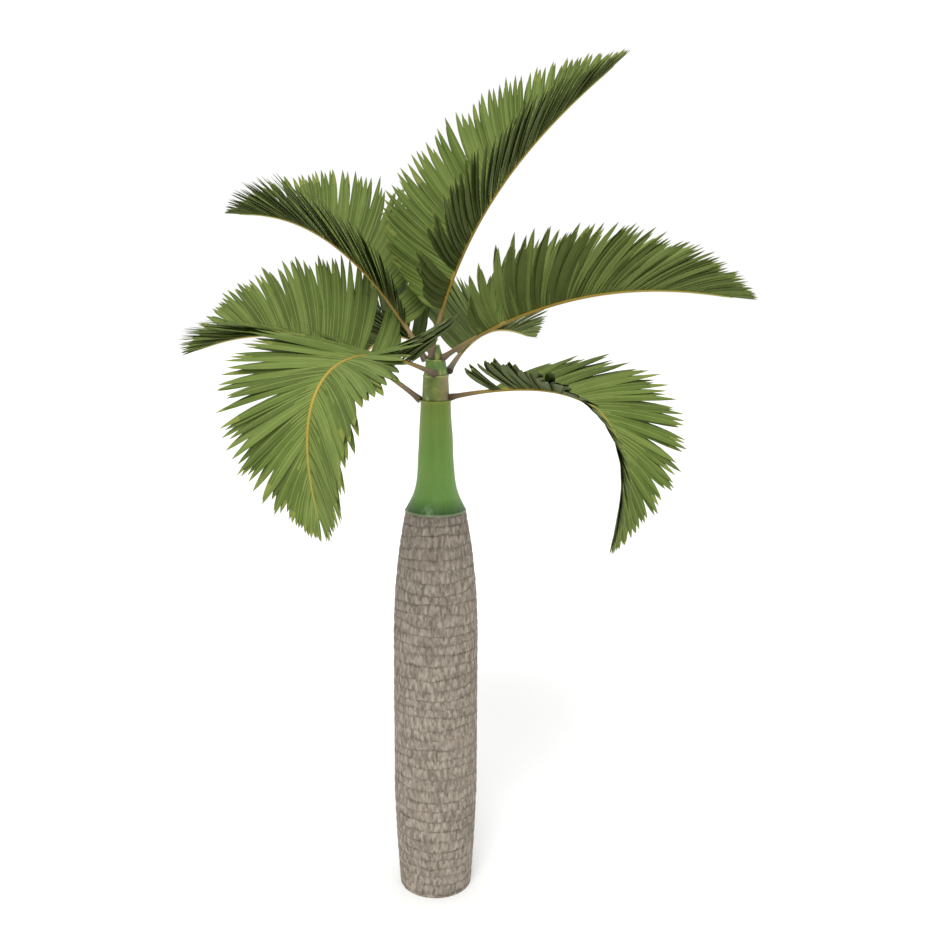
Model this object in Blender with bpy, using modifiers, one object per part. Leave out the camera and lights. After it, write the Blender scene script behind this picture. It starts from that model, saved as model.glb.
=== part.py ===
"""Spindle palm: a grey, spindle-shaped trunk, a green crownshaft and eight arching fronds.

Metres, +Z up. The origin is the centre of the flat cut under the trunk, at ground level.
The palm is seen in the photo along +Y, so +X is the photo's right and -Y its near side.
"""

import math

import bpy
import numpy as np

# Trunk and crownshaft
BASE_RADIUS = 0.198
BULGE_RADIUS = 0.228
TRUNK_TOP_RADIUS = 0.160
BULGE_START = 0.60
SHOULDER_START = 1.40
TRUNK_HEIGHT = 2.145
SHAFT_LOW_RADIUS = 0.108
SHAFT_TOP_RADIUS = 0.078
SHAFT_TOP = 2.733
FLARE_HEIGHT = 0.082
LOWER_SHEATH = (0.0725, 0.0660, 2.865)   # radius at its foot, radius at its top, height of its top
UPPER_SHEATH = (0.0620, 0.0500, 2.945)
HEART = (0.0440, 0.0180, 3.020)
GAP = 0.0003
TURN_STEPS = 28

# Every frond: where the bare stalk ends, and its two rows of leaflets
STALK_SHARE = 0.147
LEAFLET_LENGTH = 0.495
FIRST_LEAFLET_SHARE = 0.33
LAST_LEAFLET_SHARE = 0.22
LONGEST_AT = 0.18
FIRST_LEAFLET_ANGLE = math.radians(79)
LAST_LEAFLET_ANGLE = math.radians(8)
ANGLE_POWER = 1.24
ROLL_DONE_AT = 0.30
BLADE_THICKNESS = 0.004
BLADE_GAP = 0.0004
RIB_SPLIT_GAP = 0.0004
BLADE_SPLIT_GAP = 0.0015
RIB_FOOT_RADIUS = 0.0125
RIB_STALK_RADIUS = 0.0085
RIB_TIP_RADIUS = 0.0036
RIB_SIDES = 8

# Each frond's own set, in degrees and metres. azimuth and rise give the stalk's direction, droop is
# how far it has bent down at the tip, bend and ease where along it and how gradually it bends. sweep is
# its sideways bend, roll its twist, and fold the rise of each row of leaflets from the rib. seat_azimuth
# and seat_height are where the stalk leaves the crownshaft, and leaf scales its leaflets.
FRONDS = {
    "upright": dict(azimuth=2.8, rise=79.0, droop=39.7, bend=0.36, ease=0.60, sweep=3.4, roll=-22.6,
                    fold=50.2, length=1.740, leaf=0.96, seat_azimuth=238, seat_height=2.958),
    "right": dict(azimuth=-16.7, rise=33.5, droop=43.2, bend=0.53, ease=0.61, sweep=13.3, roll=-0.5,
                  fold=45.2, length=1.510, leaf=1.02, seat_azimuth=-42, seat_height=2.956),
    "back_right": dict(azimuth=71.5, rise=22.6, droop=34.7, bend=0.36, ease=0.60, sweep=-7.0, roll=0.0,
                       fold=45.0, length=1.430, leaf=1.00, seat_azimuth=14, seat_height=2.884),
    "low_right": dict(azimuth=-41.9, rise=12.8, droop=114.9, bend=0.64, ease=0.15, sweep=8.0, roll=0.5,
                      fold=18.2, length=1.520, leaf=0.94, seat_azimuth=-8, seat_height=2.752),
    "rear": dict(azimuth=116.0, rise=20.2, droop=62.8, bend=0.41, ease=0.60, sweep=-1.8, roll=24.0,
                 fold=59.1, length=1.530, leaf=0.98, seat_azimuth=80, seat_height=2.944),
    "upper_left": dict(azimuth=144.1, rise=55.1, droop=55.3, bend=0.72, ease=0.61, sweep=3.0, roll=10.0,
                       fold=50.1, length=1.580, leaf=0.96, seat_azimuth=150, seat_height=2.9375),
    "left": dict(azimuth=159.6, rise=36.1, droop=54.2, bend=0.42, ease=0.55, sweep=-16.0, roll=29.9,
                 fold=43.6, length=1.590, leaf=0.97, seat_azimuth=172, seat_height=2.733),
    "front_left": dict(azimuth=-122.7, rise=19.4, droop=126.7, bend=0.60, ease=0.16, sweep=-5.1, roll=3.9,
                       fold=6.5, length=1.570, leaf=1.03, seat_azimuth=-98, seat_height=2.878),
}

STATIONS = 8
STALK_STATIONS = 3
EARLIEST_SPLIT = 0.45
LATEST_SPLIT = 0.62
BLADE_WIDTHS = 3
ARC_STEPS = 240


def clear_scene():
    for old in list(bpy.data.objects):
        bpy.data.objects.remove(old)


def make_material(name, color, roughness):
    material = bpy.data.materials.new(name)
    material.use_nodes = True
    shader = material.node_tree.nodes["Principled BSDF"]
    shader.inputs["Base Color"].default_value = (*color, 1.0)
    shader.inputs["Roughness"].default_value = roughness
    shader.inputs["Metallic"].default_value = 0.0
    return material


def add_object(name, vertices, edges, faces, material, collection):
    mesh = bpy.data.meshes.new(name)
    mesh.from_pydata([tuple(map(float, v)) for v in vertices], edges, faces)
    mesh.materials.append(material)
    mesh.update()
    made = bpy.data.objects.new(name, mesh)
    collection.objects.link(made)
    return made


def turned(name, outline, material, collection):
    """A solid of revolution: the outline is (radius, height) from the top of its axis to the bottom."""
    points = [(radius, 0.0, height) for radius, height in outline]
    edges = [(i, i + 1) for i in range(len(points) - 1)]
    made = add_object(name, points, edges, [], material, collection)
    screw = made.modifiers.new("turn", "SCREW")
    screw.angle = 2 * math.pi
    screw.steps = TURN_STEPS
    screw.render_steps = TURN_STEPS
    screw.use_merge_vertices = True
    screw.merge_threshold = 0.00001
    screw.use_smooth_shade = True
    return made


def trunk_radius(height):
    """Narrow foot, even bulge, and a shoulder that draws in to the crownshaft."""
    if height < BULGE_START:
        return BULGE_RADIUS - (BULGE_RADIUS - BASE_RADIUS) * (1 - height / BULGE_START) ** 1.4
    if height < SHOULDER_START:
        return BULGE_RADIUS
    share = (height - SHOULDER_START) / (TRUNK_HEIGHT - SHOULDER_START)
    return BULGE_RADIUS - (BULGE_RADIUS - TRUNK_TOP_RADIUS) * share ** 2.2


def crownshaft_radius(height):
    """A slim cone with a bell-shaped flare at its foot."""
    rise = height - TRUNK_HEIGHT
    share = rise / (SHAFT_TOP - TRUNK_HEIGHT)
    cone = SHAFT_LOW_RADIUS + (SHAFT_TOP_RADIUS - SHAFT_LOW_RADIUS) * share
    return cone + (TRUNK_TOP_RADIUS - SHAFT_LOW_RADIUS) * math.exp(-((rise / FLARE_HEIGHT) ** 1.48))


def shaft_radius(height):
    """Radius of whichever sheath a stalk leaves at this height."""
    if height <= SHAFT_TOP:
        return crownshaft_radius(height)
    foot = SHAFT_TOP
    for low, high, top in (LOWER_SHEATH, UPPER_SHEATH, HEART):
        if height <= top:
            return low + (high - low) * (height - foot) / (top - foot)
        foot = top
    return HEART[1]


def make_trunk(collection):
    bark = make_material("bark", (0.30, 0.26, 0.21), 0.92)
    low = np.linspace(0.0, BULGE_START, 6)
    high = np.linspace(SHOULDER_START, TRUNK_HEIGHT, 9)
    heights = np.concatenate([low, high])[::-1]
    outline = [(0.0, TRUNK_HEIGHT)] + [(trunk_radius(z), z) for z in heights] + [(0.0, 0.0)]
    turned("trunk", outline, bark, collection)


def make_crownshaft(collection):
    green = make_material("crownshaft_green", (0.16, 0.27, 0.07), 0.45)
    foot = TRUNK_HEIGHT + GAP
    flare = np.linspace(foot, foot + 2.4 * FLARE_HEIGHT, 8)
    heights = np.concatenate([flare, np.linspace(foot + 4 * FLARE_HEIGHT, SHAFT_TOP, 3)])[::-1]
    outline = [(0.0, SHAFT_TOP)] + [(crownshaft_radius(z), z) for z in heights] + [(0.0, foot)]
    turned("crownshaft", outline, green, collection)


def make_sheaths(collection):
    """The younger leaf sheaths stacked on the crownshaft, each stepping in from the one below."""
    olive = make_material("sheath_olive", (0.20, 0.26, 0.07), 0.5)
    foot = SHAFT_TOP
    for name, (low, high, top) in (("lower_sheath", LOWER_SHEATH), ("upper_sheath", UPPER_SHEATH),
                                   ("crown_heart", HEART)):
        base = foot + GAP
        outline = [(0.0, top), (high, top), ((low + high) / 2, (base + top) / 2), (low, base), (0.0, base)]
        turned(name, outline, olive, collection)
        foot = top


def bend_share(frond, u):
    """Share of the droop that has happened at u: an arctangent step centred on the bend."""
    bend, ease = frond["bend"], frond["ease"]
    start = math.atan(-bend / ease)
    return (np.arctan((u - bend) / ease) - start) / (math.atan((1 - bend) / ease) - start)


def end_ring(frond):
    """The stalk's end ring, from its centre: its corners, then the middles of its edges."""
    slope, heading = math.radians(frond["rise"]), math.radians(frond["azimuth"])
    side = np.array([math.sin(heading), -math.cos(heading), 0.0])
    up = np.array([-math.sin(slope) * math.cos(heading), -math.sin(slope) * math.sin(heading), math.cos(slope)])
    turn = 2 * np.pi * np.arange(RIB_SIDES)[:, None] / RIB_SIDES + math.radians(frond["fold"])
    corners = RIB_FOOT_RADIUS * (np.cos(turn) * side + np.sin(turn) * up)
    return np.concatenate([corners, (corners + np.roll(corners, 1, axis=0)) / 2])


def seat_point(frond):
    """Where a stalk starts: just far enough out for its end ring to clear the sheath that it leaves."""
    seat = math.radians(frond["seat_azimuth"])
    outward = np.array([math.cos(seat), math.sin(seat), 0.0])
    across = np.array([-math.sin(seat), math.cos(seat), 0.0])
    ring = end_ring(frond)
    sheath = np.array([shaft_radius(frond["seat_height"] + lift) for lift in ring[:, 2]])
    reach = np.sqrt(sheath ** 2 - (ring @ across) ** 2) - ring @ outward
    return (reach.max() + GAP) * outward + np.array([0.0, 0.0, frond["seat_height"]])


def frond_frames(frond, u):
    """Points, tangents, side axes and up axes of the rib at the shares u of its length.

    The side axis points to the right-hand row of leaflets for someone looking out along the frond.
    """
    fine = np.linspace(0.0, 1.0, ARC_STEPS + 1)
    slope = np.radians(frond["rise"]) - np.radians(frond["droop"]) * bend_share(frond, fine)
    heading = np.radians(frond["azimuth"]) + np.radians(frond["sweep"]) * fine
    tangent = np.stack([np.cos(slope) * np.cos(heading), np.cos(slope) * np.sin(heading), np.sin(slope)], 1)
    steps = (tangent[1:] + tangent[:-1]) / 2 * frond["length"] / ARC_STEPS
    path = seat_point(frond) + np.concatenate([np.zeros((1, 3)), np.cumsum(steps, axis=0)])
    point = np.stack([np.interp(u, fine, path[:, k]) for k in range(3)], 1)
    slope, heading = np.interp(u, fine, slope), np.interp(u, fine, heading)
    ahead = np.stack([np.cos(slope) * np.cos(heading), np.cos(slope) * np.sin(heading), np.sin(slope)], 1)
    flat_up = np.stack([-np.sin(slope) * np.cos(heading), -np.sin(slope) * np.sin(heading), np.cos(slope)], 1)
    flat_side = np.stack([np.sin(heading), -np.cos(heading), 0 * heading], 1)
    roll = (math.radians(frond["roll"]) * np.clip(u / ROLL_DONE_AT, 0, 1))[:, None]
    side = np.cos(roll) * flat_side + np.sin(roll) * flat_up
    up = np.cos(roll) * flat_up - np.sin(roll) * flat_side
    return point, ahead, side, up


def rib_radius(u):
    """Thick at the seat, slimmer to the first leaflets, then an even taper to the tip."""
    stalk = RIB_FOOT_RADIUS + (RIB_STALK_RADIUS - RIB_FOOT_RADIUS) * np.clip(u / STALK_SHARE, 0, 1)
    rest = np.clip((u - STALK_SHARE) / (1 - STALK_SHARE), 0, 1)
    return stalk + (RIB_TIP_RADIUS - RIB_STALK_RADIUS) * rest


def leaflet_length(frond, u):
    """Short first leaflets that soon reach full length, then shorten to the tip."""
    v = np.clip((u - STALK_SHARE) / (1 - STALK_SHARE), 0, 1)
    growing = FIRST_LEAFLET_SHARE + (1 - FIRST_LEAFLET_SHARE) * (1 - (1 - v / LONGEST_AT) ** 2)
    fading = 1 - (1 - LAST_LEAFLET_SHARE) * ((v - LONGEST_AT) / (1 - LONGEST_AT)) ** 2
    return LEAFLET_LENGTH * frond["leaf"] * np.where(v < LONGEST_AT, growing, fading)


def leaflet_angle(u):
    """Angle between a leaflet and the rib's tangent, wide at the stalk and narrow at the tip."""
    v = np.clip((u - STALK_SHARE) / (1 - STALK_SHARE), 0, 1)
    return FIRST_LEAFLET_ANGLE + (LAST_LEAFLET_ANGLE - FIRST_LEAFLET_ANGLE) * v ** ANGLE_POWER


def stations(low, high):
    """The shares of the length that a rib and its blades both have rings at, so that they run parallel."""
    shares = np.linspace(max(low, STALK_SHARE), high, STATIONS)
    if low < STALK_SHARE:
        shares = np.concatenate([np.linspace(low, STALK_SHARE, STALK_STATIONS)[:-1], shares])
    return shares


def make_rib(name, frond, shares, material, collection):
    """A tapering round limb, lofted through rings square to the rib's path."""
    point, _, side, up = frond_frames(frond, shares)
    turn = -2 * np.pi * np.arange(RIB_SIDES) / RIB_SIDES + math.radians(frond["fold"])
    around = np.cos(turn)[None, :, None] * side[:, None] + np.sin(turn)[None, :, None] * up[:, None]
    rings = point[:, None] + rib_radius(shares)[:, None, None] * around
    faces = [list(range(RIB_SIDES))[::-1]]
    for i in range(len(shares) - 1):
        for j in range(RIB_SIDES):
            k = (j + 1) % RIB_SIDES
            a, b = i * RIB_SIDES, (i + 1) * RIB_SIDES
            faces.append([a + j, a + k, b + k, b + j])
    last = (len(shares) - 1) * RIB_SIDES
    faces.append([last + j for j in range(RIB_SIDES)])
    made = add_object(name, rings.reshape(-1, 3), [], faces, material, collection)
    made.data.shade_smooth()
    return made


def make_blade(name, frond, hand, shares, material, collection):
    """One row of leaflets as a thin blade: a strip from the rib to the leaflets' tips, given a thickness."""
    point, ahead, side, up = frond_frames(frond, shares)
    fold = math.radians(frond["fold"])
    out = hand * math.cos(fold) * side + math.sin(fold) * up
    angle = leaflet_angle(shares)[:, None]
    leaflet = np.cos(angle) * ahead + np.sin(angle) * out
    foot = point + (rib_radius(shares) + BLADE_GAP)[:, None] * out
    share = np.linspace(0, 1, BLADE_WIDTHS + 1)[None, :, None]
    grid = foot[:, None] + share * leaflet_length(frond, shares)[:, None, None] * leaflet[:, None]
    faces = []
    for i in range(len(shares) - 1):
        for j in range(BLADE_WIDTHS):
            a = i * (BLADE_WIDTHS + 1) + j
            b = a + BLADE_WIDTHS + 1
            faces.append([a, b, b + 1, a + 1])
    made = add_object(name, grid.reshape(-1, 3), [], faces, material, collection)
    wall = made.modifiers.new("thickness", "SOLIDIFY")
    wall.thickness = BLADE_THICKNESS
    wall.offset = 0.0
    made.data.shade_smooth()
    return made


def make_frond(name, frond, rib_material, blade_material, collection):
    """A frond in two lengths that part at its bend: a rib and two rows of leaflets for each."""
    split = min(max(frond["bend"], EARLIEST_SPLIT), LATEST_SPLIT)
    for place, low, high in (("inner", 0.0, split), ("outer", split, 1.0)):
        beyond = low > 0
        rib_low = low + beyond * RIB_SPLIT_GAP / frond["length"]
        make_rib(f"frond_{name}_rib_{place}", frond, stations(rib_low, high), rib_material, collection)
        first = max(low + beyond * BLADE_SPLIT_GAP / frond["length"], STALK_SHARE)
        for row, hand in (("right", 1.0), ("left", -1.0)):
            make_blade(f"frond_{name}_{row}_{place}", frond, hand, stations(first, high),
                       blade_material, collection)


def main():
    clear_scene()
    collection = bpy.data.collections.new("spindle_palm")
    bpy.context.scene.collection.children.link(collection)
    make_trunk(collection)
    make_crownshaft(collection)
    make_sheaths(collection)
    rib_material = make_material("rib_yellow", (0.42, 0.28, 0.07), 0.5)
    blade_material = make_material("leaf_green", (0.14, 0.20, 0.06), 0.5)
    for name, frond in FRONDS.items():
        make_frond(name, frond, rib_material, blade_material, collection)


main()
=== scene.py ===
import math

import bpy
import numpy as np
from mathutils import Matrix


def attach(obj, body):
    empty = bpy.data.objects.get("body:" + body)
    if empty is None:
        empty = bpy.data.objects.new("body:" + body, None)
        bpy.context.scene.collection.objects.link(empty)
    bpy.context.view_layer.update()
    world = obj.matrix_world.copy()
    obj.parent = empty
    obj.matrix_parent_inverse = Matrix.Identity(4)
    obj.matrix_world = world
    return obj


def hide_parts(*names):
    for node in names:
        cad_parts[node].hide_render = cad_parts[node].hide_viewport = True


# Looks of a spindle palm: ringed grey trunk, waxy green crownshaft and eight feather fronds.
# Metres, +Z up, the origin under the trunk at ground level; the camera looks along +Y.

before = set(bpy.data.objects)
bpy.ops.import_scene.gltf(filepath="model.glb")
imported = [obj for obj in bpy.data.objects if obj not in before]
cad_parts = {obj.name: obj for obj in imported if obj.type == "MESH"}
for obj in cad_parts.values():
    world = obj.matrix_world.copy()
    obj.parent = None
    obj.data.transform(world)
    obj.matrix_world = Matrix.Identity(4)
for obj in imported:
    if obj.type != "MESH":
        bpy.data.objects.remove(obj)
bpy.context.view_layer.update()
print("frame loaded:", len(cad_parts), "nodes")


# Shader maths

class Wire:  # a socket that takes part in sums: each operator adds one Math node
    def __init__(self, tree, socket):
        self.tree = tree
        self.socket = socket

    def __add__(self, other):
        return self.tree.math("ADD", self, other)

    def __sub__(self, other):
        return self.tree.math("SUBTRACT", self, other)

    def __rsub__(self, other):
        return self.tree.math("SUBTRACT", other, self)

    def __mul__(self, other):
        return self.tree.math("MULTIPLY", self, other)

    __radd__ = __add__
    __rmul__ = __mul__

    def between(self, start, end):  # 0 at start, 1 at end, even in between and held on either side
        share = (self - start) * (1 / (end - start))
        return self.tree.math("MINIMUM", self.tree.math("MAXIMUM", share, 0.0), 1.0)


class Tree:  # one material's nodes
    def __init__(self, name):
        self.material = bpy.data.materials.new(name)
        self.material.use_nodes = True
        self.nodes = self.material.node_tree.nodes
        self.links = self.material.node_tree.links
        self.shader = self.nodes["Principled BSDF"]

    def add(self, kind, settings, sockets):  # settings first, then a value or a link for each socket
        made = self.nodes.new(kind)
        for key, value in settings.items():
            if key == "stops":
                self.setStops(made.color_ramp, value)
            else:
                setattr(made, key, value)
        for key, value in sockets.items():
            self.feed(made.inputs[key], value)
        return [Wire(self, socket) for socket in made.outputs]

    def feed(self, socket, value):
        if isinstance(value, Wire):
            self.links.new(value.socket, socket)
        else:
            socket.default_value = value

    def setStops(self, ramp, stops):
        for index, (place, color) in enumerate(stops):
            stop = ramp.elements[index] if index < 2 else ramp.elements.new(place)
            stop.position = place
            stop.color = (*color, 1.0)

    def math(self, operation, *values):
        return self.add("ShaderNodeMath", {"operation": operation}, dict(enumerate(values)))[0]

    def place(self, stretch=(1.0, 1.0, 1.0)):  # Object coordinates, output 3, each axis scaled
        spot = self.add("ShaderNodeTexCoord", {}, {})[3]
        return self.add("ShaderNodeMapping", {}, {"Vector": spot, "Scale": stretch})[0]

    def axes(self):  # the object's x, y and z as three numbers
        return self.add("ShaderNodeSeparateXYZ", {}, {0: self.place()})

    def mark(self, name):  # a number that the mesh carries at each vertex, output 2
        return self.add("ShaderNodeAttribute", {"attribute_name": name}, {})[2]

    def noise(self, turns=(1.0, 1.0, 1.0), detail=3.0, roughness=0.55, place=None):
        # Turns per metre along x, y and z, unless a place of its own is given.
        sockets = {"Vector": place or self.place(turns), "Scale": 1.0, "Detail": detail,
                   "Roughness": roughness}
        return self.add("ShaderNodeTexNoise", {}, sockets)[0]

    def noises(self, wanted):
        return {name: self.noise(**settings) for name, settings in wanted.items()}

    def ramp(self, value, stops):
        return self.add("ShaderNodeValToRGB", {"stops": stops}, {0: value})[0]

    def blend(self, share, low, high):
        # Colours mixed: low where share is 0, high where it is 1. Sockets 6 and 7 and output 2 of a Mix
        # node are its colours.
        low, high = [c if isinstance(c, Wire) else (*c, 1.0) for c in (low, high)]
        return self.add("ShaderNodeMix", {"data_type": "RGBA"}, {0: share, 6: low, 7: high})[2]

    def coats(self, color, patterns, wanted):
        # Paint laid over a colour. A coat is the name of its pattern, where on that it starts and where it
        # is full, how much it covers there, and its colour.
        for name, start, full, cover, paint in wanted:
            color = self.blend(patterns[name].between(start, full) * cover, color, paint)
        return color

    def finish(self, **sockets):
        for name, value in sockets.items():
            self.feed(self.shader.inputs[name.replace("_", " ")], value)
        return self.material

    def skin(self, color, rough, height, paint):
        # Roughness is the paint's least and a swing of one pattern; another pattern stands out as bump.
        least, swing = paint["roughness"]
        strength, depth = paint["bump"]
        bump = {"Height": height, "Strength": strength, "Distance": depth}
        return self.finish(Base_Color=color, Roughness=rough * swing + least,
                           Specular_IOR_Level=paint["gloss"], Normal=self.add("ShaderNodeBump", {}, bump)[0])


def rgb(red, green, blue):  # screen colour in 0 to 255, as the linear colour that a shader takes
    share = np.array([red, green, blue]) / 255
    return tuple(np.where(share <= 0.04045, share / 12.92, ((share + 0.055) / 1.055) ** 2.4).tolist())


# Meshes from arrays

def addPiece(name, points, faces, materials, nodes, sharpAt, shades=None, marks=None):
    # One named mesh, smooth but for edges sharper than sharpAt degrees. Shades give each face its
    # material, and marks give each vertex a number for the shaders to read.
    mesh = bpy.data.meshes.new(name)
    mesh.from_pydata(points.tolist(), [], faces)
    for material in materials:
        mesh.materials.append(material)
    if shades is not None:
        mesh.polygons.foreach_set("material_index", np.asarray(shades, dtype=np.int32))
    for key, values in (marks or {}).items():
        mark = mesh.attributes.new(key, "FLOAT", "POINT")
        mark.data.foreach_set("value", np.asarray(values, dtype=np.float32))
    mesh.shade_smooth()
    mesh.set_sharp_from_angle(angle=math.radians(sharpAt))
    mesh.update()
    piece = bpy.data.objects.new(name, mesh)
    bpy.context.scene.collection.objects.link(piece)
    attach(piece, "root")
    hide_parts(*nodes)


def camelName(name):  # leaflets_upper_left gives leafletsUpperLeft
    first, *rest = name.split("_")
    return first + "".join(word.capitalize() for word in rest)


def tubeFaces(rings, around):  # quads between closed rings that follow one another
    i, k = np.meshgrid(np.arange(rings - 1), np.arange(around), indexing="ij")
    nextK = (k + 1) % around
    low, high = i * around, (i + 1) * around
    return np.stack([low + k, low + nextK, high + nextK, high + k], -1).reshape(-1, 4)


def latticeNoise(u, v, across, up, random):
    # Smooth noise between -1 and 1: random values on a lattice that closes on itself along u (0 to 1)
    # and runs once along v (0 to 1), joined by the smooth step 3t^2 - 2t^3.
    grid = random.uniform(-1, 1, (up + 2, across))
    a, b = u * across, np.clip(v, 0, 1) * up
    i, j = np.floor(a).astype(int), np.floor(b).astype(int)
    s, t = a - i, b - j
    s, t = s * s * (3 - 2 * s), t * t * (3 - 2 * t)
    i0, i1 = i % across, (i + 1) % across
    low = grid[j, i0] * (1 - s) + grid[j, i1] * s
    high = grid[j + 1, i0] * (1 - s) + grid[j + 1, i1] * s
    return low * (1 - t) + high * t


def ridge(distance, halfWidth):  # 1 at no distance, falling away on both sides as a bell curve
    return np.exp(-((distance / halfWidth) ** 2))


def skinShares(rings, columns):  # shares of the turn, u, and of the height, v, at each point of a skin
    u = np.broadcast_to(np.arange(columns) / columns, (rings, columns))
    v = np.broadcast_to(np.linspace(0, 1, rings)[:, None], (rings, columns))
    return u, v


def turnedPiece(name, heights, radii, material, node, marks):
    # A skin of rings round the Z axis: radii is (rings, columns); both ends close in a fan to the axis.
    rings, columns = radii.shape
    turn = 2 * np.pi * np.arange(columns) / columns
    skin = np.stack([radii * np.cos(turn), radii * np.sin(turn), np.broadcast_to(heights, radii.shape)], -1)
    ends = np.array([[0, 0, heights[0].mean()], [0, 0, heights[-1].mean()]])
    points = np.concatenate([skin.reshape(-1, 3), ends])
    k = np.arange(columns)
    nextK = (k + 1) % columns
    last = (rings - 1) * columns
    bottom = np.stack([np.full(columns, rings * columns), nextK, k], -1)
    top = np.stack([np.full(columns, rings * columns + 1), last + k, last + nextK], -1)
    faces = tubeFaces(rings, columns).tolist() + bottom.tolist() + top.tolist()
    marks = {key: np.append(values.ravel(), [values[0].mean(), values[-1].mean()])
             for key, values in marks.items()}
    addPiece(name, points, faces, [material], [node], sharpAt=50, marks=marks)


# Camera, light and floor

view = {"distance": 5.44, "height": 3.41, "pitchDown": 10.5, "focalPixels": 1050.0, "axisPixel": 435.7,
        "imagePixels": 925.0, "sensorWidth": 36.0}
light = {"skyStrength": 1.0, "sunStrength": 1.5, "sunRise": 48.0, "sunFrom": -102.0, "sunSoftness": 28.0}
floorPaint = {"color": (0.93, 0.93, 0.925), "cloudColor": (0.90, 0.90, 0.90), "cloudShare": 0.3,
              "cloudTurns": (0.4, 0.4, 0.4), "roughness": 0.9, "halfSide": 40.0}


def makeCamera():
    # The lens has the photograph's focal length in pixels, and the shift puts its axis at axisPixel.
    camera = bpy.data.cameras.new("camera")
    camera.sensor_width = view["sensorWidth"]
    camera.lens = camera.sensor_width * view["focalPixels"] / view["imagePixels"]
    camera.shift_x = 0.5 - view["axisPixel"] / view["imagePixels"]
    seat = bpy.data.objects.new("camera", camera)
    seat.location = (0.0, -view["distance"], view["height"])
    seat.rotation_euler = (math.radians(90 - view["pitchDown"]), 0.0, 0.0)
    bpy.context.scene.collection.objects.link(seat)
    bpy.context.scene.camera = seat


def makeLight():
    world = bpy.data.worlds.new("studio")
    world.use_nodes = True
    sky = world.node_tree.nodes["Background"]
    sky.inputs["Color"].default_value = (1.0, 1.0, 1.0, 1.0)
    sky.inputs["Strength"].default_value = light["skyStrength"]
    bpy.context.scene.world = world
    bpy.context.scene.view_settings.view_transform = "Standard"
    sun = bpy.data.lights.new("key", "SUN")
    sun.energy = light["sunStrength"]
    sun.angle = math.radians(light["sunSoftness"])
    lamp = bpy.data.objects.new("key", sun)
    lamp.rotation_euler = (math.radians(90 - light["sunRise"]), 0.0, math.radians(light["sunFrom"] + 90))
    bpy.context.scene.collection.objects.link(lamp)


def makeFloor():
    tree = Tree("floorPaint")
    clouds = tree.noise(floorPaint["cloudTurns"]) * floorPaint["cloudShare"]
    color = tree.blend(clouds, floorPaint["color"], floorPaint["cloudColor"])
    side = floorPaint["halfSide"]
    mesh = bpy.data.meshes.new("floor")
    corners = [(-side, -side, 0), (side, -side, 0), (side, side, 0), (-side, side, 0)]
    mesh.from_pydata(corners, [], [(0, 1, 2, 3)])
    mesh.materials.append(tree.finish(Base_Color=color, Roughness=floorPaint["roughness"]))
    floor = bpy.data.objects.new("floor", mesh)
    bpy.context.scene.collection.objects.link(floor)


# Trunk

trunk = {"baseRadius": 0.198, "bulgeRadius": 0.228, "topRadius": 0.160, "height": 2.145,
         "bulgeStart": 0.60, "footPower": 1.4, "shoulderStart": 1.40, "shoulderPower": 2.2,
         "columns": 200, "rings": 470, "seed": 11}
# Cells are the lattice's numbers of values round the trunk and up it.
scars = {"pitch": 0.058, "wander": 0.021, "wanderCells": (4, 22), "fineWander": 0.4,
         "fineWanderCells": (15, 50), "depth": 0.0032, "halfWidth": 0.0055,
         "wholeShare": 0.50, "brokenSwing": 0.95, "brokenCells": (11, 60)}
relief = {"swell": 0.0013, "ripple": 0.0018, "rippleCells": ((30, 90), (66, 45)),
          "pitShare": 0.5, "pitsAbove": 0.42, "pitCells": (14, 150), "endShare": 0.012, "inset": 0.001}


def trunkRadius(height):
    # Narrow foot, even bulge, and a shoulder that draws in as a power of the height to the crownshaft.
    low = np.clip(1 - height / trunk["bulgeStart"], 0, 1) ** trunk["footPower"]
    shoulder = (height - trunk["shoulderStart"]) / (trunk["height"] - trunk["shoulderStart"])
    high = np.clip(shoulder, 0, 1) ** trunk["shoulderPower"]
    bulge = trunk["bulgeRadius"]
    return bulge - (bulge - trunk["baseRadius"]) * low - (bulge - trunk["topRadius"]) * high


def makeTrunk():
    # Radius = the spindle's own, less a narrow broken groove at each wandering leaf scar and small pits,
    # plus a low swell between scars and a ripple from noise. The phase mark counts scars for the paint.
    random = np.random.default_rng(trunk["seed"])
    u, v = skinShares(trunk["rings"], trunk["columns"])
    heights = trunk["height"] * v[:, :1]

    def noise(cells):
        return latticeNoise(u, v, *cells, random)

    wander = noise(scars["wanderCells"]) + scars["fineWander"] * noise(scars["fineWanderCells"])
    phase = (heights + scars["wander"] * wander) / scars["pitch"]
    away = np.abs(phase - np.round(phase)) * scars["pitch"]
    whole = np.clip(scars["wholeShare"] + scars["brokenSwing"] * noise(scars["brokenCells"]), 0, 1)
    grooves = whole * ridge(away, scars["halfWidth"])
    pits = relief["pitShare"] * np.clip(noise(relief["pitCells"]) - relief["pitsAbove"], 0, 1)
    swell = relief["swell"] * np.sin(np.pi * (phase - np.floor(phase)))
    coarse, fine = [noise(cells) for cells in relief["rippleCells"]]
    ripple = relief["ripple"] * (coarse + fine) / 2
    ends = np.clip(np.minimum(v, 1 - v) / relief["endShare"], 0, 1)
    radii = trunkRadius(heights) - relief["inset"] + ends * (swell + ripple)
    radii = radii - scars["depth"] * (grooves + pits)
    turnedPiece("trunkBark", heights, radii, barkMaterial(), "trunk", {"phase": phase})


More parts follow.
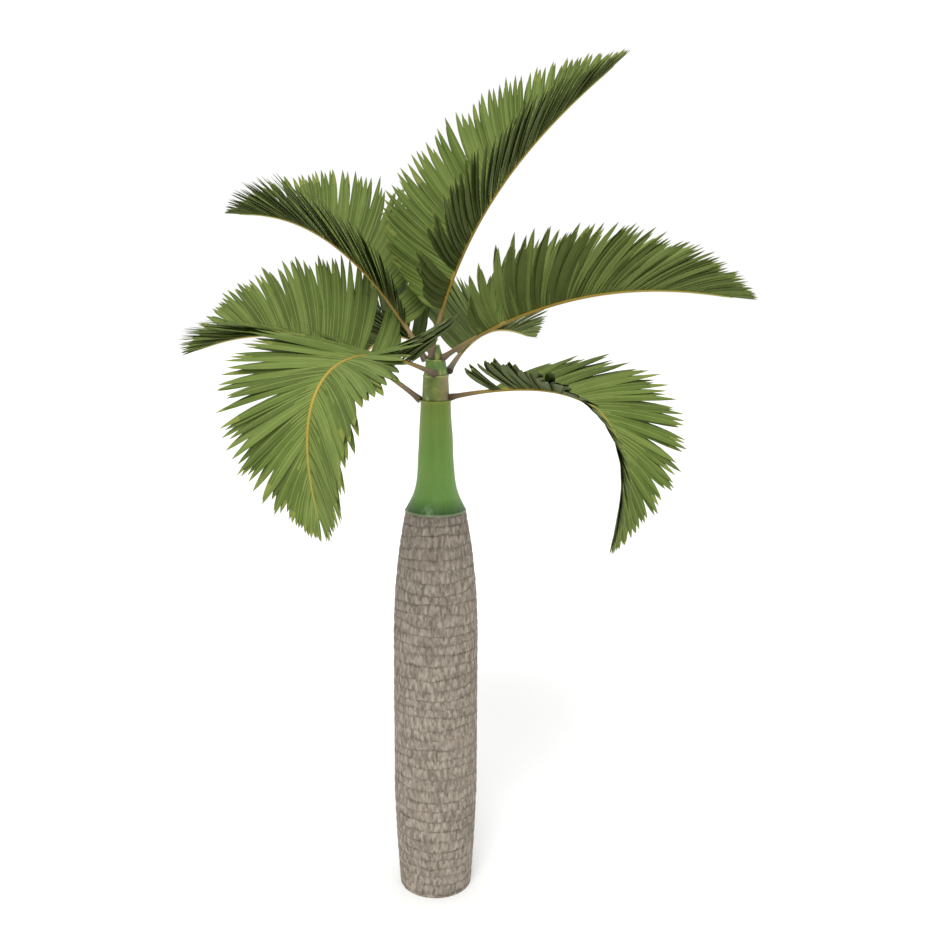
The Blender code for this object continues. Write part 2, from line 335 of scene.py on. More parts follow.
# A row lies between two scars. Cells: how many go round the trunk; by how many radians of their sine
# they shift from row to row, wobble and lean; and the noise between which they fade in. The scars'
# width, fraying and softness are shares of a row.
barkCells = {"around": 40, "rowShift": 2.4, "wobble": 14.0, "lean": 1.3, "frayed": (0.125, 0.75),
             "patchy": (0.083, 0.639)}
dashes = {"around": 55.0, "up": 22.0, "rowShiftX": 3.1, "rowShiftY": 1.7, "detail": 2.0}
scarPaint = {"width": 0.10, "fraying": 0.55, "softness": 0.222, "bold": (0.36, 0.672)}
barkPaint = {"noise": {"fray": dict(turns=(70.0, 70.0, 34.0), detail=4.0, roughness=0.65),
                       "wobble": dict(turns=(13.0, 13.0, 20.0)),
                       "grain": dict(turns=(120.0, 120.0, 30.0)),
                       "patches": dict(turns=(5.0, 5.0, 3.5), detail=2.0),
                       "bold": dict(turns=(4.0, 4.0, 12.0), detail=1.0)},
             "ramp": [(0.30, rgb(94, 86, 76)), (0.50, rgb(124, 115, 103)), (0.72, rgb(142, 133, 121))],
             "coats": [("cell", 0.0, 0.588, 0.55, rgb(158, 149, 136)),
                       ("dash", 0.48, 0.68, 0.70, rgb(170, 161, 148)),
                       ("dash", 0.47, 0.27, 0.60, rgb(92, 84, 73)),
                       ("patches", 0.50, 1.056, 1.0, rgb(136, 124, 111)),
                       ("patches", 0.46, 0.043, 1.0, rgb(108, 99, 87)),
                       ("boldScar", 0.0, 1.0, 0.95, rgb(66, 58, 48))],
             "heights": {"cell": 0.5, "dash": 0.7, "grain": 0.35, "scar": -0.8},
             "roughness": (0.84, 0.12), "gloss": 0.2, "bump": (0.75, 0.005)}


def barkMaterial():
    # Between two scars a row of short upright cells: a sine round the trunk, shifted from row to row and
    # fading towards the scars, under pale and dark dashes. Scars are dark where the phase is near a whole
    # number, with frayed edges, and bolder in some places than in others.
    tree = Tree("bark")
    x, y, z = tree.axes()
    phase = tree.mark("phase")
    row = tree.math("FLOOR", phase)
    inRow = phase - row
    patterns = tree.noises(barkPaint["noise"])
    fray = patterns["fray"]
    around = tree.math("ARCTAN2", y, x) * barkCells["around"] + row * barkCells["rowShift"]
    around = around + patterns["wobble"] * barkCells["wobble"] + inRow * barkCells["lean"]
    cell = (tree.math("SINE", around) * 0.5 + 0.5) * tree.math("SINE", inRow * math.pi)
    cell = cell * fray.between(*barkCells["frayed"]) * patterns["patches"].between(*barkCells["patchy"])
    spot = {0: x * dashes["around"] + row * dashes["rowShiftX"],
            1: y * dashes["around"] + row * dashes["rowShiftY"], 2: z * dashes["up"]}
    dash = tree.noise(detail=dashes["detail"], place=tree.add("ShaderNodeCombineXYZ", {}, spot)[0])
    away = 0.5 - tree.math("ABSOLUTE", inRow - 0.5)
    scar = scarPaint["width"] - away + (fray - 0.5) * scarPaint["fraying"]
    scar = scar.between(0.0, scarPaint["softness"])
    boldScar = scar * patterns["bold"].between(*scarPaint["bold"])
    patterns.update(cell=cell, dash=dash, scar=scar, boldScar=boldScar)
    color = tree.coats(tree.ramp(patterns["grain"], barkPaint["ramp"]), patterns, barkPaint["coats"])
    height = sum(patterns[name] * lift for name, lift in barkPaint["heights"].items())
    return tree.skin(color, patterns["grain"], height, barkPaint)


# Crownshaft and the sheaths on it

shaft = {"lowRadius": 0.108, "topRadius": 0.078, "top": 2.733, "flareHeight": 0.082, "flarePower": 1.48,
         "columns": 192, "rings": 170, "seed": 12}
shaftRelief = {"fibre": 0.0007, "fibreCells": (70, 5), "wave": 0.0016, "waveCells": (7, 6),
               "footLip": 0.004, "footLipHeight": 0.010, "topLip": 0.003, "topLipHeight": 0.012,
               "seam": 0.002, "seamAt": 0.80, "seamSway": 0.01, "seamWaves": 5, "seamWidth": 0.006}
# The ramp runs from the foot, 0, to the top, 1, and the pale patches of painted highlight near the foot end
# at the share of the height set after their noise window.
shaftPaint = {"noise": {"fibres": dict(turns=(90.0, 90.0, 5.0)), "bloom": dict(turns=(14.0, 14.0, 7.0))},
              "ramp": [(0.0, rgb(128, 140, 108)), (0.012, rgb(112, 128, 92)), (0.020, rgb(54, 82, 40)),
                       (0.055, rgb(72, 108, 50)), (0.14, rgb(104, 143, 68)), (0.5, rgb(108, 145, 62)),
                       (0.85, rgb(118, 144, 62)), (0.985, rgb(114, 132, 50)), (1.0, rgb(140, 148, 62))],
              "paintedFootHighlight": (0.56, 0.76), "paintedHighlightTop": 0.167,
              "coats": [("fibres", 0.45, 1.117, 0.50, rgb(84, 120, 48)),
                        # pale blue-green patches near the foot: painted highlight
                        ("paintedFootHighlight", 0.0, 1.0, 0.75, rgb(142, 172, 140)),
                        ("bloom", 0.60, 0.85, 0.35, rgb(140, 160, 96))],
              "roughness": (0.36, 0.2), "gloss": 0.30, "bump": (0.25, 0.002)}
gap = 0.0003   # that pieces which meet keep to each other


def crownshaftRadius(height):
    # A slim cone, plus a bell-shaped flare that dies away above the trunk.
    rise = height - trunk["height"]
    slope = (shaft["topRadius"] - shaft["lowRadius"]) / (shaft["top"] - trunk["height"])
    flare = np.exp(-((np.maximum(rise, 0) / shaft["flareHeight"]) ** shaft["flarePower"]))
    return shaft["lowRadius"] + slope * rise + (trunk["topRadius"] - shaft["lowRadius"]) * flare


def makeCrownshaft():
    # The CAD's profile with fine fibres round it, a seam, and a rounded lip at the foot and at the top.
    random = np.random.default_rng(shaft["seed"])
    u, v = skinShares(shaft["rings"], shaft["columns"])
    foot = trunk["height"] + gap
    heights = foot + (shaft["top"] - foot) * v[:, :1]
    fibres = shaftRelief["fibre"] * latticeNoise(u, v, *shaftRelief["fibreCells"], random)
    waves = shaftRelief["wave"] * latticeNoise(u, v, *shaftRelief["waveCells"], random)
    lips = shaftRelief["footLip"] * ridge(heights - trunk["height"], shaftRelief["footLipHeight"])
    lips = lips + shaftRelief["topLip"] * ridge(shaft["top"] - heights, shaftRelief["topLipHeight"])
    sway = shaftRelief["seamSway"] * np.sin(shaftRelief["seamWaves"] * v)
    seam = shaftRelief["seam"] * ridge(u - shaftRelief["seamAt"] - sway, shaftRelief["seamWidth"])
    radii = crownshaftRadius(heights) + fibres + waves + lips - seam
    turnedPiece("crownshaftSkin", heights, radii, shaftMaterial(), "crownshaft",
                {"height": v})


def shaftMaterial():
    # Greens by height, darker fibres, a pale waxy bloom in patches, and pale blue-green patches of painted
    # highlight near the foot.
    tree = Tree("crownshaftWax")
    height = tree.mark("height")
    patterns = tree.noises(shaftPaint["noise"])
    # Painted highlight: pale patches of the noise, full at the foot and gone at their end height.
    low = height.between(shaftPaint["paintedHighlightTop"], 0.0)
    patterns["paintedFootHighlight"] = patterns["bloom"].between(*shaftPaint["paintedFootHighlight"]) * low
    color = tree.coats(tree.ramp(height, shaftPaint["ramp"]), patterns, shaftPaint["coats"])
    return tree.skin(color, patterns["bloom"], patterns["fibres"], shaftPaint)


# Each sheath's radius at its foot, low, and at its top, high; the height of its top; its green; and the
# share of a turn where its wrap ends, which lies past the full turn on the heart, so that it shows none.
sheaths = {
    "lower_sheath": dict(low=0.0725, high=0.0660, top=2.865, green=rgb(92, 110, 44), seamAt=0.62),
    "upper_sheath": dict(low=0.0620, high=0.0500, top=2.945, green=rgb(62, 102, 32), seamAt=0.85),
    "crown_heart": dict(low=0.0440, high=0.0180, top=3.020, green=rgb(78, 104, 38), seamAt=1.08),
}
sheathRelief = {"rings": 44, "columns": 96, "seed": 20, "topLip": 0.0022, "topLipShare": 0.07,
                "footTuck": 0.0015, "footTuckShare": 0.05, "seam": 0.0022, "seamLean": 0.04,
                "seamWidth": 0.010, "ruffle": 0.0012, "ruffleCells": (9, 4)}
sheathPaint = {"noise": {"mottle": dict(turns=(26.0, 26.0, 11.0)),
                         "fibres": dict(turns=(110.0, 110.0, 7.0), detail=2.0),
                         "stain": dict(turns=(17.0, 17.0, 24.0), detail=4.0, roughness=0.65)},
               "coats": [("mottle", 0.306, 0.861, 0.60, rgb(132, 142, 74)),
                         ("panel", 0.012, 0.037, 0.85, rgb(130, 118, 82)),   # by metres towards +X
                         ("stain", 0.52, 0.687, 0.60, rgb(150, 148, 62)),
                         ("stain", 0.46, 0.293, 0.55, rgb(56, 84, 32)),
                         ("mottle", 0.60, 0.743, 0.70, rgb(196, 186, 150)),
                         ("height", 0.90, 0.971, 0.60, rgb(156, 160, 92)),
                         ("height", 0.05, 0.0, 0.70, rgb(72, 84, 40))],
               "roughness": (0.38, 0.2), "gloss": 0.5, "bump": (0.3, 0.002)}


def makeSheaths():
    # Each younger sheath: a straight-sided cone, rolled over at its top edge, its wrap ending in a seam.
    foot = shaft["top"]
    for number, (node, sheath) in enumerate(sheaths.items()):
        random = np.random.default_rng(sheathRelief["seed"] + number)
        u, v = skinShares(sheathRelief["rings"], sheathRelief["columns"])
        heights = foot + gap + (sheath["top"] - foot - gap) * v[:, :1]
        straight = sheath["low"] + (sheath["high"] - sheath["low"]) * v
        lip = sheathRelief["topLip"] * ridge(1 - v, sheathRelief["topLipShare"])
        tuck = sheathRelief["footTuck"] * ridge(v, sheathRelief["footTuckShare"])
        seamAway = u - sheath["seamAt"] + sheathRelief["seamLean"] * v
        seam = sheathRelief["seam"] * ridge(seamAway, sheathRelief["seamWidth"])
        ruffle = sheathRelief["ruffle"] * latticeNoise(u, v, *sheathRelief["ruffleCells"], random)
        name = camelName(node + "_skin")
        material = sheathMaterial(name, sheath["green"], oldest=number == 0)
        turnedPiece(name, heights, straight + lip - tuck - seam + ruffle, material, node,
                    {"height": v})
        foot = sheath["top"]


def sheathMaterial(name, green, oldest):
    # Mottled and stained green, pale at its top edge and dark at its foot. The oldest has a dry tan panel.
    tree = Tree(name)
    patterns = tree.noises(sheathPaint["noise"])
    patterns.update(height=tree.mark("height"), panel=tree.axes()[0])
    coats = [coat for coat in sheathPaint["coats"] if oldest or coat[0] != "panel"]
    color = tree.coats(green, patterns, coats)
    return tree.skin(color, patterns["fibres"], patterns["fibres"], sheathPaint)


# Fronds: the CAD's own curves, in degrees and metres, with bend and ease as shares of the rib's length

fronds = {
    "upright": dict(azimuth=2.8, rise=79.0, droop=39.7, bend=0.36, ease=0.60, sweep=3.4, roll=-22.6,
                    fold=50.2, length=1.740, leaf=0.96, seatAzimuth=238, seatHeight=2.958),
    "right": dict(azimuth=-16.7, rise=33.5, droop=43.2, bend=0.53, ease=0.61, sweep=13.3, roll=-0.5,
                  fold=45.2, length=1.510, leaf=1.02, seatAzimuth=-42, seatHeight=2.956),
    "back_right": dict(azimuth=71.5, rise=22.6, droop=34.7, bend=0.36, ease=0.60, sweep=-7.0, roll=0.0,
                       fold=45.0, length=1.430, leaf=1.00, seatAzimuth=14, seatHeight=2.884),
    "low_right": dict(azimuth=-41.9, rise=12.8, droop=114.9, bend=0.64, ease=0.15, sweep=8.0, roll=0.5,
                      fold=18.2, length=1.520, leaf=0.94, seatAzimuth=-8, seatHeight=2.752),
    "rear": dict(azimuth=116.0, rise=20.2, droop=62.8, bend=0.41, ease=0.60, sweep=-1.8, roll=24.0,
                 fold=59.1, length=1.530, leaf=0.98, seatAzimuth=80, seatHeight=2.944),
    "upper_left": dict(azimuth=144.1, rise=55.1, droop=55.3, bend=0.72, ease=0.61, sweep=3.0, roll=10.0,
                       fold=50.1, length=1.580, leaf=0.96, seatAzimuth=150, seatHeight=2.9375),
    "left": dict(azimuth=159.6, rise=36.1, droop=54.2, bend=0.42, ease=0.55, sweep=-16.0, roll=29.9,
                 fold=43.6, length=1.590, leaf=0.97, seatAzimuth=172, seatHeight=2.733),
    "front_left": dict(azimuth=-122.7, rise=19.4, droop=126.7, bend=0.60, ease=0.16, sweep=-5.1, roll=3.9,
                       fold=6.5, length=1.570, leaf=1.03, seatAzimuth=-98, seatHeight=2.878),
}
pathSteps = 240   # in which a rib's path is summed
ribs = {"footRadius": 0.0125, "stalkRadius": 0.0085, "tipRadius": 0.0036, "stalkShare": 0.147,
        "rollDoneAt": 0.30, "cadSides": 8}


def shaftRadius(height):  # radius of whichever sheath is at this height
    if height <= shaft["top"]:
        return float(crownshaftRadius(height))
    foot = shaft["top"]
    for sheath in sheaths.values():
        if height <= sheath["top"]:
            return sheath["low"] + (sheath["high"] - sheath["low"]) * (height - foot) / (sheath["top"] - foot)
        foot = sheath["top"]
    return sheath["high"]


def directions(slope, heading):  # unit vectors ahead, up and to the right of a path, one for each angle pair
    ahead = np.stack([np.cos(slope) * np.cos(heading), np.cos(slope) * np.sin(heading), np.sin(slope)], -1)
    up = np.stack([-np.sin(slope) * np.cos(heading), -np.sin(slope) * np.sin(heading), np.cos(slope)], -1)
    side = np.stack([np.sin(heading), -np.cos(heading), 0 * heading], -1)
    return ahead, up, side


def seatPoint(frond):
    # Just far enough out for the stalk's end ring, at its corners and the middles of its edges, to
    # clear the sheath.
    _, up, side = directions(np.radians(frond["rise"]), np.radians(frond["azimuth"]))
    turn = 2 * np.pi * np.arange(ribs["cadSides"])[:, None] / ribs["cadSides"] + math.radians(frond["fold"])
    corners = ribs["footRadius"] * (np.cos(turn) * side + np.sin(turn) * up)
    ring = np.concatenate([corners, (corners + np.roll(corners, 1, axis=0)) / 2])
    seat = math.radians(frond["seatAzimuth"])
    outward = np.array([math.cos(seat), math.sin(seat), 0.0])
    across = np.array([-math.sin(seat), math.cos(seat), 0.0])
    sheath = np.array([shaftRadius(frond["seatHeight"] + lift) for lift in ring[:, 2]])
    reach = (np.sqrt(sheath ** 2 - (ring @ across) ** 2) - ring @ outward).max() + gap
    return reach * outward + np.array([0.0, 0.0, frond["seatHeight"]])


def frondFrames(frond, u):
    # Points, tangents, side and up axes at the shares u of the rib's length. The slope falls by the
    # droop in an arctangent step round the bend, the heading turns evenly, and the steps are summed.
    fine = np.linspace(0, 1, pathSteps + 1)
    bend, ease = frond["bend"], frond["ease"]
    start = math.atan(-bend / ease)
    step = (np.arctan((fine - bend) / ease) - start) / (math.atan((1 - bend) / ease) - start)
    slope = np.radians(frond["rise"]) - np.radians(frond["droop"]) * step
    heading = np.radians(frond["azimuth"]) + np.radians(frond["sweep"]) * fine
    tangent = directions(slope, heading)[0]
    steps = (tangent[1:] + tangent[:-1]) / 2 * frond["length"] / pathSteps
    path = seatPoint(frond) + np.concatenate([np.zeros((1, 3)), np.cumsum(steps, axis=0)])
    point = np.stack([np.interp(u, fine, path[:, k]) for k in range(3)], 1)
    ahead, flatUp, flatSide = directions(np.interp(u, fine, slope), np.interp(u, fine, heading))
    roll = (math.radians(frond["roll"]) * np.clip(u / ribs["rollDoneAt"], 0, 1))[:, None]
    side = np.cos(roll) * flatSide + np.sin(roll) * flatUp
    up = np.cos(roll) * flatUp - np.sin(roll) * flatSide
    return point, ahead, side, up


def rowShare(u):  # 0 at the first leaflet, 1 at the tip
    return np.clip((u - ribs["stalkShare"]) / (1 - ribs["stalkShare"]), 0, 1)


def ribRadius(u):  # thick at the seat, slimmer at the first leaflets, then an even taper
    stalk = (ribs["stalkRadius"] - ribs["footRadius"]) * np.clip(u / ribs["stalkShare"], 0, 1)
    return ribs["footRadius"] + stalk + (ribs["tipRadius"] - ribs["stalkRadius"]) * rowShare(u)


# Ribs

ribSkin = {"sides": 12, "stations": 84, "fullness": 1.45, "hollow": 0.30, "hollowPower": 4, "flatness": 0.92,
           "tipFrom": 0.97, "tipClosing": 20, "clasp": 0.0060, "claspLength": 0.030}
# The ramp runs from the seat, 0, to the tip, 1.
ribPaint = {"noise": {"spots": dict(turns=(70.0, 70.0, 70.0)),
                      "blush": dict(turns=(16.0, 16.0, 16.0), detail=2.0)},
            "ramp": [(0.0, rgb(66, 54, 40)), (0.03, rgb(96, 78, 58)), (0.11, rgb(126, 106, 58)),
                     (0.19, rgb(152, 124, 38)), (0.60, rgb(166, 140, 38)), (1.0, rgb(142, 142, 52))],
            "coats": [("spots", 0.58, 0.747, 0.70, rgb(168, 104, 36)),
                      ("blush", 0.55, 0.80, 0.35, rgb(112, 116, 50))],
            "roughness": (0.36, 0.2), "gloss": 0.5, "bump": (0.2, 0.002)}


def makeRib(name, frond, material):
    # Rings square to the rib's path: round below, hollowed along the top, and clasping at the seat.
    stations, sides = ribSkin["stations"], ribSkin["sides"]
    u = np.linspace(0, 1, stations)
    point, _, side, up = frondFrames(frond, u)
    turn = -2 * np.pi * np.arange(sides) / sides
    hollow = 1 - ribSkin["hollow"] * np.clip(np.sin(turn), 0, 1) ** ribSkin["hollowPower"]
    tip = 1 - np.maximum(u - ribSkin["tipFrom"], 0) * ribSkin["tipClosing"]
    radius = ribSkin["fullness"] * ribRadius(u) * tip
    radius = radius + ribSkin["clasp"] * ridge(u * frond["length"], ribSkin["claspLength"])
    around = np.cos(turn)[:, None] * side[:, None] + ribSkin["flatness"] * np.sin(turn)[:, None] * up[:, None]
    points = (point[:, None] + radius[:, None, None] * hollow[:, None] * around).reshape(-1, 3)
    faces = tubeFaces(stations, sides).tolist()
    faces += [list(range(sides))[::-1], list(range((stations - 1) * sides, stations * sides))]
    nodes = [f"frond_{name}_rib_{place}" for place in ("inner", "outer")]
    addPiece(camelName("rib_" + name), points, faces, [material], nodes, sharpAt=60,
             marks={"along": np.repeat(u, sides)})


def ribMaterial():
    # Brown at the seat, then golden and greener to the tip, with orange spots and a green blush.
    tree = Tree("ribSkin")
    patterns = tree.noises(ribPaint["noise"])
    color = tree.coats(tree.ramp(tree.mark("along"), ribPaint["ramp"]), patterns, ribPaint["coats"])
    return tree.skin(color, patterns["spots"], patterns["spots"], ribPaint)


# Leaflets: v below is rowShare, 0 at the first leaflet and 1 at the tip; s runs along one leaflet

rows = {"count": 88, "lastAt": 0.995, "spacingSpread": 0.25, "liftSpread": 2.2, "driftKnots": 9,
        "liftMix": 0.7, "steepShare": 0.32, "steepPower": 0.7, "seed": 100, "seedStep": 7}
missingLeaflets = (9, 10, 11)   # a notch near the foot of each right-hand row
bareFoot = {"low_right": 4}   # leaflets left out at the foot of both rows
steepFoot = {("front_left", -1): 34.0, ("low_right", 1): 6.0}   # degrees more fold at a row's foot
spines = {"firstAngle": 79.0, "lastAngle": 8.0, "anglePower": 1.24, "angleSpread": 1.1,
          "pairing": 0.5, "clusterSwing": 2.6, "clusterStep": (0.20, 0.36),
          "length": 0.495, "longer": 1.08, "lengthSpread": 0.05, "spreadLimits": (-2, 1),
          "firstShare": 0.30, "lastShare": 0.22, "longestAt": 0.18,
          "stations": 8, "crowding": 1.3, "sabre": 22.0, "sabreAtTip": 0.4,
          "sag": 0.035, "sagSpread": (0.4, 1.4), "footDepth": 0.6}
blades = {"width": 0.041, "widthSpread": (0.86, 1.1), "tipNarrowing": 0.50, "fullWidthShare": 0.45,
          "leastWidth": 0.5, "footWidth": 0.48, "widestAt": 0.45, "bluntness": 6.0, "tipWidth": 0.02,
          "midribHalfWidth": 0.0017, "midribTaper": (1.15, 0.7), "midribShare": 0.4,
          "thickness": 0.0011, "thinBelow": 0.004, "keel": 0.16,
          "shingle": 8.0, "twistSpread": 4.5, "twistEase": (1.15, 0.5)}
broadness = {"front_left": 1.35, "low_right": 1.3}   # the two that bend down have wider leaflets
shingles = {"front_left": -13.0, "low_right": -10.0}   # and these turn to face the frond's tip
leafCorners = 6   # of a leaflet's section: edge, midrib twice, edge, midrib below twice
upperFaces, underFaces = slice(0, 3, 2), slice(3, 6, 2)   # round a section, on either side of the midrib
midribFace, midribUnderFace = 1, 4


def leafletLength(frond, v):  # short first leaflets that soon reach full length, then shorten to the tip
    first, last, longest = spines["firstShare"], spines["lastShare"], spines["longestAt"]
    growing = first + (1 - first) * (1 - (1 - v / longest) ** 2)
    fading = 1 - (1 - last) * ((v - longest) / (1 - longest)) ** 2
    return spines["length"] * frond["leaf"] * np.where(v < longest, growing, fading)


def rowPlaces(name, hand, random):  # shares of the rib's length at which one row's leaflets leave it
    u = np.linspace(ribs["stalkShare"], rows["lastAt"], rows["count"])
    spread = rows["spacingSpread"]
    u = u + random.uniform(-spread, spread, len(u)) * (u[1] - u[0])
    if hand > 0:
        u = np.delete(u, missingLeaflets)
    return np.clip(u, ribs["stalkShare"], 1)[bareFoot.get(name, 0):]


def rowAxes(name, frond, hand, u, random):
    # The row's outward and upward axes at each leaflet: the frond's own, turned up by its fold, by more
    # fold near some feet, and by a slow drift and a jitter of its own.
    v, count = rowShare(u), len(u)
    point, ahead, side, up = frondFrames(frond, u)
    knots = np.linspace(0, count, rows["driftKnots"])
    drift = np.interp(np.arange(count), knots, random.normal(0, 1, rows["driftKnots"]))
    lift = np.radians(rows["liftSpread"]) * rows["liftMix"] * (drift + random.normal(0, 1, count))
    ease = np.clip(1 - v / rows["steepShare"], 0, 1) ** rows["steepPower"]
    steep = math.radians(steepFoot.get((name, hand), 0.0)) * ease
    fold = (math.radians(frond["fold"]) + steep + lift)[:, None]
    out = hand * np.cos(fold) * side + np.sin(fold) * up
    normal = np.cos(fold) * up - hand * np.sin(fold) * side
    return point, ahead, out, normal


def leafletSpines(frond, u, point, ahead, out, random):
    # Each midrib's points and directions, (leaflets, stations, 3). A leaflet leaves the rib at its row's
    # angle, in pairs and loose clusters, bends like a sabre towards the frond's tip and sags with the
    # square of its length.
    v, count = rowShare(u), len(u)
    cluster = np.cumsum(random.uniform(*spines["clusterStep"], count)) % 1 - 0.5
    angle = spines["firstAngle"] + (spines["lastAngle"] - spines["firstAngle"]) * v ** spines["anglePower"]
    angle = angle + spines["pairing"] * (-1.0) ** np.arange(count) + spines["clusterSwing"] * cluster
    angle = np.radians(angle + spines["angleSpread"] * random.normal(0, 1, count))
    uneven = spines["lengthSpread"] * random.normal(0, 1, count).clip(*spines["spreadLimits"])
    length = leafletLength(frond, v) * (spines["longer"] + uneven)
    s = 1 - (1 - np.linspace(0, 1, spines["stations"])) ** spines["crowding"]
    sabre = math.radians(spines["sabre"]) * (1 - (1 - spines["sabreAtTip"]) * v)
    turn = angle[:, None] + sabre[:, None] * (0.5 - s)
    aim = np.cos(turn)[..., None] * ahead[:, None] + np.sin(turn)[..., None] * out[:, None]
    legs = (aim[:, 1:] + aim[:, :-1]) / 2 * np.diff(s)[:, None]
    legs = np.concatenate([np.zeros((count, 1, 3)), legs], 1)
    foot = point + spines["footDepth"] * ribRadius(u)[:, None] * out
    path = foot[:, None] + length[:, None, None] * np.cumsum(legs, 1)
    sag = spines["sag"] * random.uniform(*spines["sagSpread"], count)
    path[..., 2] -= sag[:, None] * length[:, None] * s ** 2
    return path, aim, length, s


def leafletRow(name, frond, hand, random):
    # One row as an array of closed blades, (leaflets, stations, 6 corners, 3). A blade's section is a
    # shallow roof: a thin raised midrib, two sloping halves, and the same from below.
    u = rowPlaces(name, hand, random)
    v, count = rowShare(u), len(u)
    point, ahead, out, normal = rowAxes(name, frond, hand, u, random)
    path, aim, length, s = leafletSpines(frond, u, point, ahead, out, random)
    across = np.cross(np.broadcast_to(normal[:, None], aim.shape), aim)
    twist = hand * np.radians(shingles.get(name, blades["shingle"]))
    twist = twist + np.radians(blades["twistSpread"]) * random.normal(0, 1, count)
    atFoot, lost = blades["twistEase"]
    twist = (twist[:, None] * (atFoot - lost * s))[..., None]
    tilted = np.cos(twist) * across + np.sin(twist) * normal[:, None]
    raised = np.cos(twist) * normal[:, None] - np.sin(twist) * across
    spread = blades["width"] / 2 * (1 - blades["tipNarrowing"] * v ** 2)
    spread = spread * random.uniform(*blades["widthSpread"], count) * broadness.get(name, 1.0)
    fullWidthLength = blades["fullWidthShare"] * spines["length"]
    spread = spread * np.clip(length / fullWidthLength, blades["leastWidth"], 1)
    opening = np.sin(np.pi / 2 * np.clip(s / blades["widestAt"], 0, 1))
    shape = blades["footWidth"] + (1 - blades["footWidth"]) * opening
    shape = shape * (1 - s ** blades["bluntness"]) + blades["tipWidth"]
    half = spread[:, None] * shape
    atFoot, lost = blades["midribTaper"]
    midrib = np.minimum(blades["midribHalfWidth"] * (atFoot - lost * s), blades["midribShare"] * half)
    thick = blades["thickness"] * np.minimum(1, half / blades["thinBelow"])
    edge = -blades["keel"] * half
    x = np.stack([half, midrib, -midrib, -half, -midrib, midrib], -1)
    y = np.stack([edge, thick, thick, edge, -thick, -thick], -1)
    return path[:, :, None] + x[..., None] * tilted[:, :, None] + y[..., None] * raised[:, :, None]


leafColors = {   # two plain colours that drift into each other, and a roughness
    "leafTopMid": (rgb(94, 112, 48), rgb(84, 102, 41), 0.60),
    "leafTopLight": (rgb(110, 127, 61), rgb(98, 115, 52), 0.60),
    "leafTopDeep": (rgb(88, 104, 46), rgb(78, 93, 39), 0.60),
    # The under colours are painted shade: darker copies of the leaf's green where shade falls under the
    # leaflets.
    "leafUnderPaintedShadeDeep": (rgb(77, 88, 40), rgb(67, 78, 34), 0.70),
    "leafUnderPaintedShadeMid": (rgb(86, 98, 45), rgb(76, 87, 39), 0.70),
    "leafTip": (rgb(124, 134, 62), rgb(110, 119, 52), 0.60),
    "leafMidrib": (rgb(134, 147, 78), rgb(119, 132, 66), 0.50),
    # The midrib's underside, darker as painted shade.
    "leafMidribUnder": (rgb(92, 104, 46), rgb(78, 90, 38), 0.60),
    # Painted shade made lighter, for the undersides of fronds that face the light.
    "leafUnderPaintedShadeLight": (rgb(112, 127, 64), rgb(101, 115, 56), 0.65),
}
leafPaint = {"noise": {"clouds": dict(turns=(9.0, 9.0, 9.0)),
                       "veins": dict(turns=(160.0, 160.0, 160.0), detail=2.0)},
             "drift": (0.25, 0.75), "roughnessSwing": 0.15, "gloss": 0.18, "bump": (0.12, 0.001)}
leafPlace = {name: place for place, name in enumerate(leafColors)}   # in a mesh's list of materials
topShades = {"leafTopMid": 0.40, "leafTopLight": 0.35, "leafTopDeep": 0.25}   # shares of the leaflets
# Painted shade for the undersides: the darker pair on most fronds, and lighter painted shade on fronds that
# turn their undersides to the light.
underPaintedShades = ("leafUnderPaintedShadeDeep", "leafUnderPaintedShadeMid")
underPaintedShadesLitFronds = {"right": ("leafUnderPaintedShadeLight", "leafUnderPaintedShadeLight", "leafUnderPaintedShadeMid"),
                   "left": ("leafUnderPaintedShadeMid", "leafUnderPaintedShadeLight", "leafUnderPaintedShadeLight"),
                   "back_right": ("leafUnderPaintedShadeMid", "leafUnderPaintedShadeLight", "leafUnderPaintedShadeLight")}
ripeShare, ripeFurther = 0.55, 0.4   # leaflets with a yellow tip, and those of them where it runs further


def leafMaterials():
    # Two greens that drift into each other by a soft noise, under fine veins.
    made = []
    for name, (main, other, roughness) in leafColors.items():
        tree = Tree(name)
        patterns = tree.noises(leafPaint["noise"])
        color = tree.blend(patterns["clouds"].between(*leafPaint["drift"]), main, other)
        paint = dict(leafPaint, roughness=(roughness, leafPaint["roughnessSwing"]))
        made.append(tree.skin(color, patterns["veins"], patterns["veins"], paint))
    return made


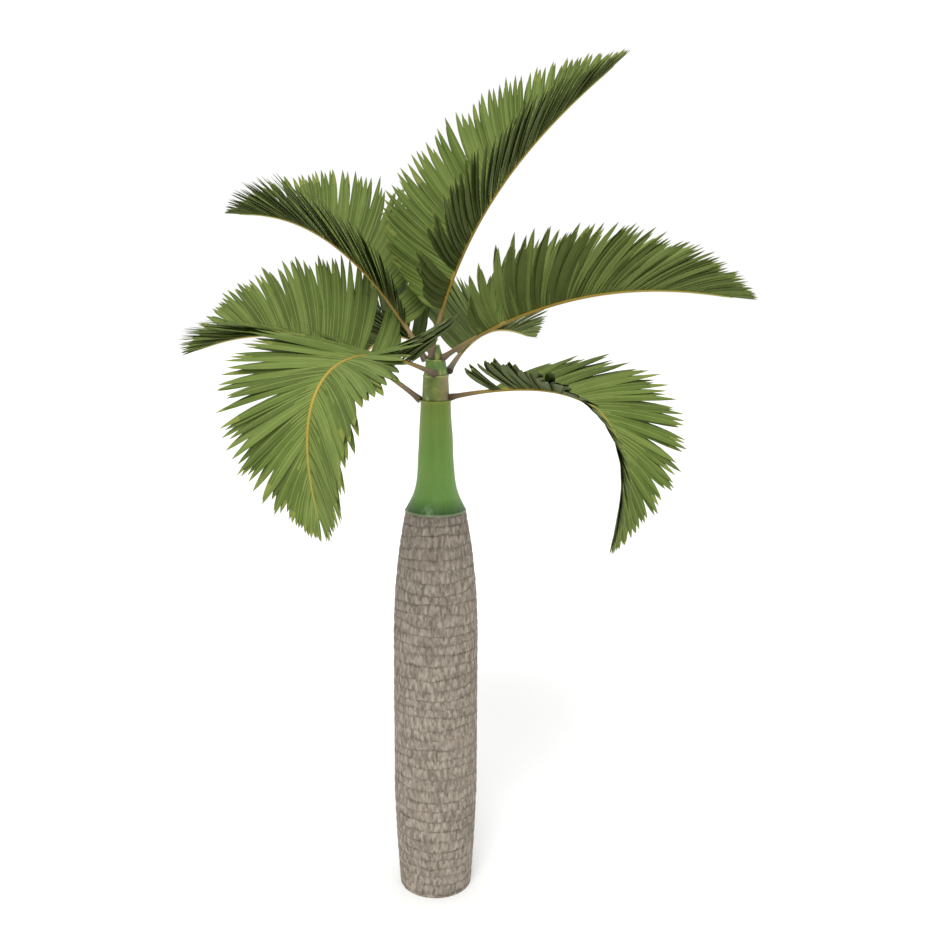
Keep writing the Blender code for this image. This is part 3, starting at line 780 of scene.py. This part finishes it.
def leafletShades(name, count, random):
    # Colours dealt out leaflet by leaflet, (leaflets, stretches, 6 faces round): the upper halves, the
    # midrib, the under halves and the midrib below in painted shade, and a yellower last stretch on some.
    tops = [leafPlace[shade] for shade in topShades]
    shadedUnders = [leafPlace[shade] for shade in underPaintedShadesLitFronds.get(name, underPaintedShades)]
    top = random.choice(tops, count, p=list(topShades.values()))
    under = random.choice(shadedUnders, count)
    shades = np.zeros((count, spines["stations"] - 1, leafCorners), dtype=int)
    shades[:, :, upperFaces] = top[:, None, None]
    shades[:, :, underFaces] = under[:, None, None]
    shades[:, :, midribFace] = leafPlace["leafMidrib"]
    shades[:, :, midribUnderFace] = leafPlace["leafMidribUnder"]
    ripe = random.uniform(0, 1, count) < ripeShare
    shades[ripe, -1, :] = leafPlace["leafTip"]
    ripeOn = ripe & (random.uniform(0, 1, count) < ripeFurther)
    shades[ripeOn, -2, upperFaces] = leafPlace["leafTip"]
    return shades


def makeLeaflets(name, frond, materials, seed):
    # Both rows as one mesh: each blade a tube of six-cornered rings, closed at its foot and its tip.
    stations, corners = spines["stations"], leafCorners
    random = np.random.default_rng(seed)
    points, faces, shades, caps, capShades = [], [], [], [], []
    start = 0
    for hand in (1, -1):
        row = leafletRow(name, frond, hand, random)
        count = len(row)
        offsets = start + np.arange(count) * stations * corners
        faces.append((tubeFaces(stations, corners)[None] + offsets[:, None, None]).reshape(-1, 4))
        dealt = leafletShades(name, count, random)
        shades.append(dealt.reshape(-1))
        foot = np.arange(corners)[::-1] + offsets[:, None]
        tip = np.arange(corners) + offsets[:, None] + (stations - 1) * corners
        caps.append(np.concatenate([foot, tip]))
        capShades.append(np.concatenate([dealt[:, 0, 0], dealt[:, -1, 0]]))
        points.append(row.reshape(-1, 3))
        start += count * stations * corners
    allFaces = np.concatenate(faces).tolist() + np.concatenate(caps).tolist()
    nodes = [f"frond_{name}_{row}_{place}" for row in ("right", "left") for place in ("inner", "outer")]
    addPiece(camelName("leaflets_" + name), np.concatenate(points), allFaces, materials, nodes,
             sharpAt=40, shades=np.concatenate(shades + capShades))


makeCamera()
makeLight()
makeFloor()
print("camera, light and floor made")
makeTrunk()
print("trunk made")
makeCrownshaft()
makeSheaths()
print("crownshaft and sheaths made")
ribPaintwork = ribMaterial()
leafPaintwork = leafMaterials()
for number, (frondName, frondShape) in enumerate(fronds.items()):
    makeRib(frondName, frondShape, ribPaintwork)
    makeLeaflets(frondName, frondShape, leafPaintwork, seed=rows["seed"] + rows["seedStep"] * number)
    print("frond made:", frondName)
